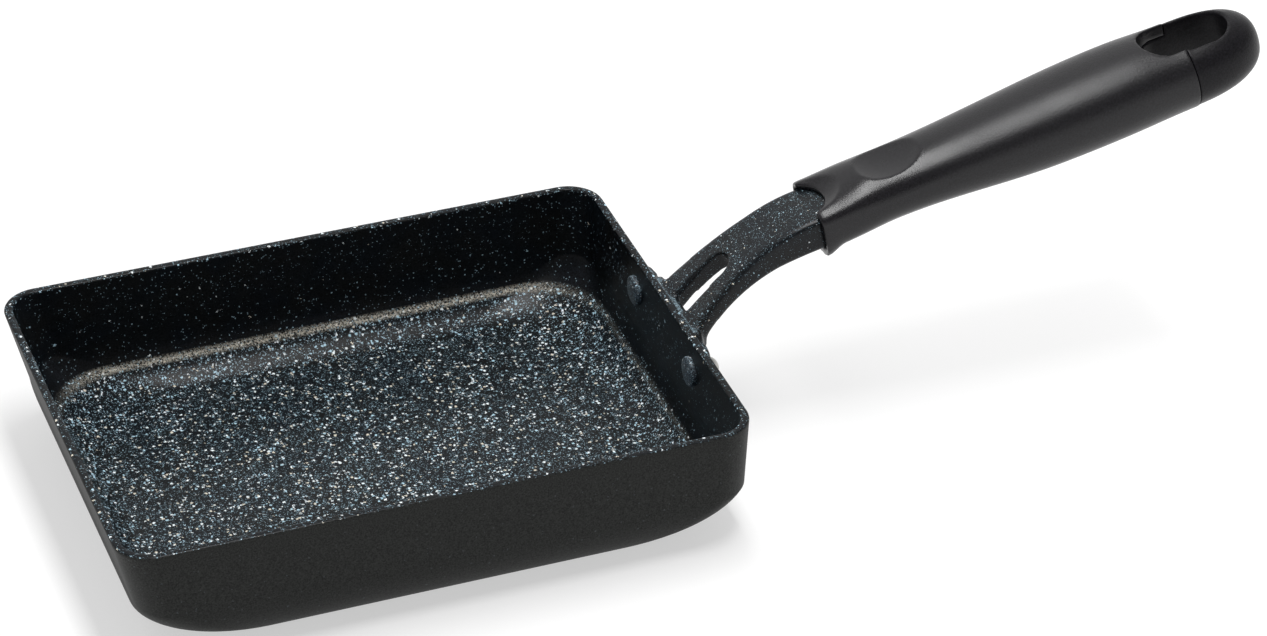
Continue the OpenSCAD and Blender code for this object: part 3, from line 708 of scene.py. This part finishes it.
class PAN_OT_bracket(Operator):
    """Model the die-cast bracket: riveted plate, forked arch, neck and tang, fused with cast fillets"""
    bl_idname = "pan.bracket"
    bl_label = "Bracket"

    def execute(self, context):
        rivet, arm, grip = context.scene.rivet_sizes, context.scene.bracket_sizes, context.scene.grip_sizes
        centre, wall, axis = arch_centre(context), wall_place(context), grip_place(context)
        arch_steps, edge_steps, voxel, rim_x = 90, 6, 0.38 * MM, wall.translation.x
        # The arch runs on into the wall, to be cut there
        buried = radians(3)
        # Along the arch from the neck: where it starts to widen, how it curves out, and where it is thin
        fork_from, fork_bend, thin_at = 0.3, 1.3, 0.8

        def on_arch(bent):
            """The frame that lies this far round the arch: X along its middle line, Z outwards."""
            turn = Matrix.Rotation(-grip.tilt - bent, 4, "Y")
            return shift(centre) @ turn @ shift((0, 0, arm.arch_r))

        def section(bent, on, w, t, rise):
            """A section of the bracket, this far round the arch and then this far straight on."""
            flat = rounded(-w / 2, w / 2, rise - t / 2, rise + t / 2, arm.edge_r, edge_steps)
            return [on_arch(bent) @ Vector((on, side, up)) for side, up in flat]

        rings = []
        for i in range(arch_steps, -1, -1):
            # The arms flare out over the last stretch before the plate
            t = i / arch_steps
            lean = grip.tilt + t * (arm.arch_angle + buried)
            before = (centre.x - arm.arch_r * sin(lean) - rim_x - arm.plate_mid_t) / cos(lean)
            short = arm.root_r - min(max(before, 0), arm.root_r)
            flare = arm.root_r - sqrt(arm.root_r ** 2 - short ** 2)
            forked = max(0, t - fork_from) / (1 - fork_from)
            w = lerp(arm.neck_w, arm.fork_w, forked ** fork_bend) + 2 * flare
            thick = eased(t, (0, arm.neck_t), (thin_at, arm.arm_t))
            rings.append(section(t * (arm.arch_angle + buried), 0, w, thick, arm.arm_rise * t))
        end = grip.collar_back + grip.neck_depth - grip.slack
        rings += [section(0, end * t, arm.neck_w, arm.neck_t, 0) for t in (0.5, 1)]

        # The slot between the arms, cut square to the arch at its round end
        gap_end = on_arch(arm.arch_angle - arm.gap_len / arm.arch_r)
        gap_place = gap_end @ shift((-arm.gap_w / 2, 0, 0))
        far, through = 200 * MM, 3 * arm.neck_t
        gap_round = cylinder(arm.gap_w / 2, through, gap_place)
        gap_rest = bar(-far, 0, arm.gap_w, 2 * through, 0, matrix=gap_place)
        behind = block((-far, -far, -far), (0, far, far), matrix=wall)
        arch = carve(loft(rings), [gap_round, gap_rest, behind])

        # The plate: round ends, a flat back, thicker towards its middle
        half_h, reach, seat_t = arm.plate_h / 2, rivet.span / 2, arm.plate_t + 0.2 * MM
        plate_edge, edge_share, plate_steps = 0.7 * MM, 0.45, 24

        def plate_ring(y):
            """Upright section of the plate."""
            past = max(0, abs(y) - reach)
            high = sqrt(max(half_h ** 2 - past ** 2, 0))
            if past:
                thick = lerp(seat_t, arm.plate_end_t, past / half_h)
            else:
                inner = max(0, abs(y) - arm.fork_w / 2) / (reach - arm.fork_w / 2)
                thick = lerp(arm.plate_mid_t, seat_t, inner)
            flat = rounded(-high, high, 0, thick, min(plate_edge, edge_share * high), steps=3)
            return [wall @ Vector((out, y, up - rivet.drop)) for up, out in flat]

        ends = [reach + half_h * sin(radians(a)) for a in range(5, 86, 5)]
        across = [reach * i / plate_steps for i in range(-plate_steps, plate_steps + 1)]
        plate = loft([plate_ring(y) for y in [-e for e in reversed(ends)] + across + ends])
        web_w = arm.fork_w / 2 + 2 * MM
        web = block((0, -web_w, -rivet.drop), (arm.plate_mid_t, web_w, -arm.web_drop), matrix=wall)
        # Each rivet has its bore, and room for its dome above the plate
        shank_gap, dome_gap, above = 0.1 * MM, 0.5 * MM, shift((0, 0, 2 * arm.plate_t))
        bores = []
        for place in rivet_places(context):
            bores.append(cylinder(rivet.shank_d / 2 + shank_gap, 5 * arm.plate_t, place, segments=48))
            bores.append(cylinder(rivet.dome_d / 2 + dome_gap, 2 * arm.plate_t, place @ above, segments=64))
        plate = carve(plate, bores)

        screw_depth = 14 * MM
        tang = bar(grip.neck_depth / 2, arm.tang_len, arm.tang_w, arm.tang_t, -arm.tang_drop, matrix=axis)
        tapped = rod(grip, arm.tang_len - screw_depth, arm.tang_len + screw_depth, arm.screw_d, segments=48)
        tapped.transform(axis)
        tang = carve(tang, [tapped])

        bm = fuse([arch, plate, web, tang], voxel)
        relax(bm, passes=4)
        # Cast fillets where the arms grow out of the plate
        root_w, root_from, root_to = arm.fork_w / 2 + 5 * MM, 0.5 * MM, 10 * MM
        relax(bm, passes=22, where=lambda co: root_from < co.x - rim_x < root_to and abs(co.y) < root_w)
        # Upright faces get half the chips, as painted shade, and level faces painted light
        hand_over("cast_bracket", bm, "handle_bracket", [
            marble_coat(context, "Marbled coat on the casting", fine=0.26, coarse=0.05, upright=0.5,
                        painted_top_light=0.4, size=0.55, roughness=0.34, gloss=0.35),
        ])
        return {"FINISHED"}


def grip_ring(grip, x, less=0.0, around=96):
    """One section of the grip, square at the collar and oval from the waist on."""
    joint = grip.length - grip.cap_len
    square, oval, side, back = 3.4, 2.15, 2.4, 3.1

    def half(at_collar, waist, full_at, belly, at_joint):
        """Half a width or height, from the collar over the waist and the belly to the joint."""
        behind = (full_at, belly / 2), (joint, at_joint / 2)
        return eased(x, (0, at_collar), (grip.waist_at, waist / 2), *behind)

    def closing(e):
        """How far the round end has closed in: a larger e closes it later."""
        return 1 if x <= joint else max(0, 1 - ((x - joint) / grip.cap_len) ** e) ** (1 / e)

    lip = grip.lip_drop * cos(pi / 2 * x / grip.lip_len) ** 2 if x < grip.lip_len else 0
    w = half(grip.collar_w / 2, grip.waist_w, grip.belly_at, grip.belly_w, grip.joint_w)
    up = half(grip.collar_up, grip.waist_h, grip.back_at, grip.belly_h, grip.joint_h)
    down = half(grip.collar_down, grip.waist_h, grip.palm_at, grip.belly_h, grip.joint_h) + lip
    w, up, down = (w - less) * closing(side), (up - less) * closing(back), (down - less) * closing(side)
    bend = 2 / eased(x, (0, square), (grip.waist_at, oval))
    ring = []
    for i in range(around):
        a = 2 * pi * i / around
        z = (down if sin(a) < 0 else up) * power(sin(a), bend)
        ring.append(Vector((x, w * power(cos(a), bend), z)))
    return ring


def over_back(grip, x, deep, r):
    """Where a round tool of this radius stands, to cut this deep into the grip's back."""
    back = max(v.z for v in grip_ring(grip, x, around=4)) if x >= 0 else grip.collar_up
    return shift((x, 0, back - deep + r))


def slot_ends(grip):
    """Centres of the hang slot's two round ends, along the grip."""
    end = grip.length - grip.slot_end_wall
    return end - grip.slot_len + grip.slot_w / 2, end - grip.slot_w / 2


def hang_slot(grip):
    """The hang slot with its round ends, as tools that go right through."""
    first, last = slot_ends(grip)
    deep = 3 * grip.belly_h
    rounds = [cylinder(grip.slot_w / 2, deep, shift((x, 0, 0))) for x in (first, last)]
    return rounds + [bar(first, last, grip.slot_w, deep, 0)]


def rod(grip, start, end, d, segments=64):
    """A cylinder along the long screw."""
    turn = Matrix.Rotation(radians(90), 4, "Y")
    middle = shift(((start + end) / 2, 0, -grip.screw_drop))
    return cylinder(d / 2, end - start, middle @ turn, segments)


class PAN_OT_grip(Operator):
    """Model the moulded grip: collar with its notch and finger lip, thumb rest and front of the hang slot"""
    bl_idname = "pan.grip"
    bl_label = "Grip"

    def execute(self, context):
        arm, grip = context.scene.bracket_sizes, context.scene.grip_sizes
        step, voxel, space = 1.0 * MM, 0.45 * MM, grip.slack
        joint_gap, mouth_gap, mouth_depth = 0.1 * MM, 0.8 * MM, 2 * MM
        joint = grip.length - grip.cap_len
        last = joint - joint_gap
        count = round(last / step)
        shell = loft([grip_ring(grip, last * i / count) for i in range(count + 1)])

        scoop_r = hollow_r(grip.scoop_len, grip.scoop_deep)
        scoop_place = over_back(grip, grip.scoop_at, grip.scoop_deep, scoop_r)
        scoop = bmesh.new()
        bmesh.ops.create_uvsphere(scoop, u_segments=128, v_segments=96, radius=scoop_r, matrix=scoop_place)

        # The thumb rest is cut by a barrel that lies across the grip
        thumb_r, barrel = hollow_r(grip.thumb_len / 2, grip.thumb_deep), grip.thumb_barrel
        reach, bow_steps = grip.belly_w * 0.6, 24
        bow = [reach * (2 * i / bow_steps - 1) for i in range(bow_steps + 1)]
        outline = [(0, y, thumb_r - barrel + sqrt(barrel ** 2 - y * y)) for y in bow]
        thumb = turned([(0, -reach, 0), *outline, (0, reach, 0)], (0, 1, 0), steps=180)
        thumb.transform(over_back(grip, grip.thumb_at, grip.thumb_deep, thumb_r))

        notch_r, high = grip.notch_w / 2, grip.belly_h
        notch = cylinder(notch_r, high, shift((grip.notch_len - notch_r, 0, high / 2)))
        neck = arm.neck_w, arm.neck_t, -grip.neck_drop, arm.edge_r
        tongue = grip.tongue_w, grip.tongue_h, -grip.screw_drop, grip.tongue_edge
        bm = carve(shell, [
            scoop, thumb, notch,
            bar(-OVERLAP, grip.neck_depth, *neck, space),
            bar(-OVERLAP, mouth_depth, *neck, mouth_gap),
            bar(OVERLAP, arm.tang_len + 2 * space, arm.tang_w, arm.tang_t, -arm.tang_drop, space=space),
            rod(grip, arm.tang_len, joint - OVERLAP, arm.screw_d + 2 * space),
            bar(joint - grip.tongue_len - space, joint + OVERLAP, *tongue, space),
            *hang_slot(grip)])
        bm = fuse([bm], voxel)
        # The edge at the joint stays crisp, and the collar's front edge is rounded more
        crisp, soft = 0.8 * MM, 1.5 * MM
        relax(bm, passes=3, where=lambda co: co.x < joint - crisp)
        relax(bm, passes=6, where=lambda co: co.x < soft)
        place = grip_place(context)
        polished = (place @ Vector((grip.waist_at, 0, 0))).x
        resin = phenolic_resin(context, "Phenolic resin", sheen_level=0.26, polished_to=polished)
        hand_over("moulded_grip", bm, "grip", [resin], place)
        return {"FINISHED"}


class PAN_OT_end_cap(Operator):
    """Model the end cap: rounded tip, tongue, screw seat and the soft lip of the hang slot"""
    bl_idname = "pan.end_cap"
    bl_label = "End cap"

    def execute(self, context):
        arm, grip = context.scene.bracket_sizes, context.scene.grip_sizes
        # The cap is a little smaller than the grip
        steps, voxel, smaller = 40, 0.3 * MM, 0.25 * MM
        joint = grip.length - grip.cap_len
        # The last section lies just short of the tip, which the loft closes
        almost = radians(88.5)
        sections = [joint + grip.cap_len * sin(almost * i / steps) for i in range(steps + 1)]
        cap = loft([grip_ring(grip, x, smaller) for x in sections])
        foot = joint - grip.tongue_len
        tongue = bar(foot, joint + OVERLAP, grip.tongue_w, grip.tongue_h, -grip.screw_drop, grip.tongue_edge)
        first, last = slot_ends(grip)
        seat = first - grip.slot_w / 2 - grip.seat_depth
        bm = carve(fuse([cap, tongue], voxel), [
            *hang_slot(grip),
            rod(grip, foot - OVERLAP, first, arm.screw_d),
            rod(grip, seat, first, grip.washer_d)])
        bm = fuse([bm], voxel)
        crisp = 0.5 * MM
        relax(bm, passes=3, where=lambda co: abs(co.x - joint) > crisp)
        lip_w, lip_from, clear = 3 * MM, 4.5 * MM, 0.7 * MM

        def at_lip(co):
            """Near the slot's edge on the back or the underside of the cap, and clear of the joint."""
            off = hypot(co.x - min(max(co.x, first), last), co.y) - grip.slot_w / 2
            return co.x > joint + clear and off < lip_w and abs(co.z) > lip_from

        relax(bm, passes=45, where=at_lip)
        resin = phenolic_resin(context, "Phenolic resin of the cap", sheen_level=0.12)
        hand_over("cap_with_tongue", bm, "end_cap", [resin], grip_place(context))
        return {"FINISHED"}


class PAN_OT_fasteners(Operator):
    """Give the long screw and its two washers their zinc plating"""
    bl_idname = "pan.fasteners"
    bl_label = "Screw and washers"

    def execute(self, context):
        plated = bare_metal("Zinc-plated steel", context.scene.finishes.zinc, roughness=0.3, grain_mm=0.4)
        for name in ("handle_screw", "spring_washer", "flat_washer"):
            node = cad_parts[name]
            node.data.materials.clear()
            node.data.materials.append(plated)
        return {"FINISHED"}


class PAN_OT_stage(Operator):
    """Set the pale floor, the soft box and the camera at the photograph's angle"""
    bl_idname = "pan.stage"
    bl_label = "Stage"

    def execute(self, context):
        scene, studio = context.scene, context.scene.studio_settings
        scene.view_settings.view_transform = "Standard"

        ground = bmesh.new()
        bmesh.ops.create_grid(ground, x_segments=1, y_segments=1, size=6, matrix=shift((0, 0, -0.05 * MM)))
        floor = show("floor", ground)
        material, node, where = blank("Painted board")
        far = node("VectorMath", [where], operation="LENGTH")
        # The camera and reflections see the floor fade to white, and all other light sees it as it is lit
        fade = node("MapRange", [(far, "Value"), 0.15, 1.2, 0.53, 1])
        ray = node("LightPath")
        mirror = node("Math", [(ray, "Is Camera Ray"), (ray, "Is Glossy Ray")], operation="ADD")
        direct = node("Math", [mirror, (ray, "Is Transmission Ray")], operation="ADD", use_clamp=True)
        seen = node("Math", [fade, direct], operation="MULTIPLY")
        glow = node("Emission", {"Strength": seen})
        matt = node("BsdfDiffuse", {"Color": studio.floor})
        node("OutputMaterial", {"Surface": node("AddShader", [matt, glow])})
        floor.data.materials.append(material)

        # The studio is white round the horizon, and dim above: darker in front of the pan than behind it
        world = bpy.data.worlds.new("studio")
        scene.world = world
        world.use_nodes = True
        world.node_tree.nodes.clear()
        node = partial(add, world.node_tree)
        toward = node("SeparateXYZ", [(node("TexCoord"), "Generated")])
        walls = node("MapRange", [(toward, "Y"), -0.3, 0.6, studio.front, studio.back])
        up = node("MapRange", [(toward, "Z"), 0.16, 0.32])
        level = node("Mix", {0: up, 2: 1.0, 3: walls}, data_type="FLOAT")
        sky = node("Background", {"Color": [1, 1, 1, 1], "Strength": level})
        node("OutputWorld", {"Surface": sky})

        target, direction, away = Vector((0.1, 0, 0.03)), Vector((0, -0.05, 1)).normalized(), 1.3
        lamp = bpy.data.lights.new("soft_box", "AREA")
        lamp.shape, lamp.size, lamp.size_y, lamp.energy = "RECTANGLE", 0.26, 0.95, studio.key
        soft_box = bpy.data.objects.new("soft_box", lamp)
        scene.collection.objects.link(soft_box)
        soft_box.location = target + direction * away
        soft_box.rotation_euler = direction.to_track_quat("Z", "Y").to_euler()

        # The photograph's view: from the near side, 20 degrees round to the left and 33 degrees up
        turn, drop = radians(-20.2216), radians(33.4694)
        view = bpy.data.cameras.new("view")
        view.sensor_fit, view.sensor_width, view.lens = "HORIZONTAL", 36, 131.88
        view.clip_start, view.clip_end = 0.05, 50
        camera = bpy.data.objects.new("view", view)
        scene.collection.objects.link(camera)
        camera.location = (-0.31073, -1.06212, 0.78466)
        camera.rotation_euler = (pi / 2 - drop, 0, turn)
        scene.camera = camera
        return {"FINISHED"}


class PAN_PT_tools(Panel):
    """Lists the steps that build the pan, with its sizes and colours"""
    bl_idname = "PAN_PT_tools"
    bl_label = "Omelette pan"
    bl_space_type = "VIEW_3D"
    bl_region_type = "UI"
    bl_category = "Omelette pan"

    def draw(self, context):
        column = self.layout.column()
        for step in STEPS:
            column.operator(step.bl_idname)
        for name in GROUPS:
            group = getattr(context.scene, name)
            for key in group.__annotations__:
                column.prop(group, key)


GROUPS = {
    "pan_sizes": PanSizes,
    "rivet_sizes": RivetSizes,
    "bracket_sizes": BracketSizes,
    "grip_sizes": GripSizes,
    "finishes": Finishes,
    "studio_settings": StudioSettings,
}
STEPS = (
    PAN_OT_body, PAN_OT_rivets, PAN_OT_bracket, PAN_OT_grip, PAN_OT_end_cap, PAN_OT_fasteners, PAN_OT_stage)
CLASSES = (*GROUPS.values(), *STEPS, PAN_PT_tools)


def register():
    for cls in CLASSES:
        bpy.utils.register_class(cls)
    for name, cls in GROUPS.items():
        setattr(bpy.types.Scene, name, PointerProperty(type=cls))


def unregister():
    for name in GROUPS:
        delattr(bpy.types.Scene, name)
    for cls in reversed(CLASSES):
        bpy.utils.unregister_class(cls)


def main():
    register()
    bpy.ops.pan.body()
    bpy.ops.pan.rivets()
    bpy.ops.pan.bracket()
    bpy.ops.pan.grip()
    bpy.ops.pan.end_cap()
    bpy.ops.pan.fasteners()
    bpy.ops.pan.stage()


if __name__ == "__main__":
    main()
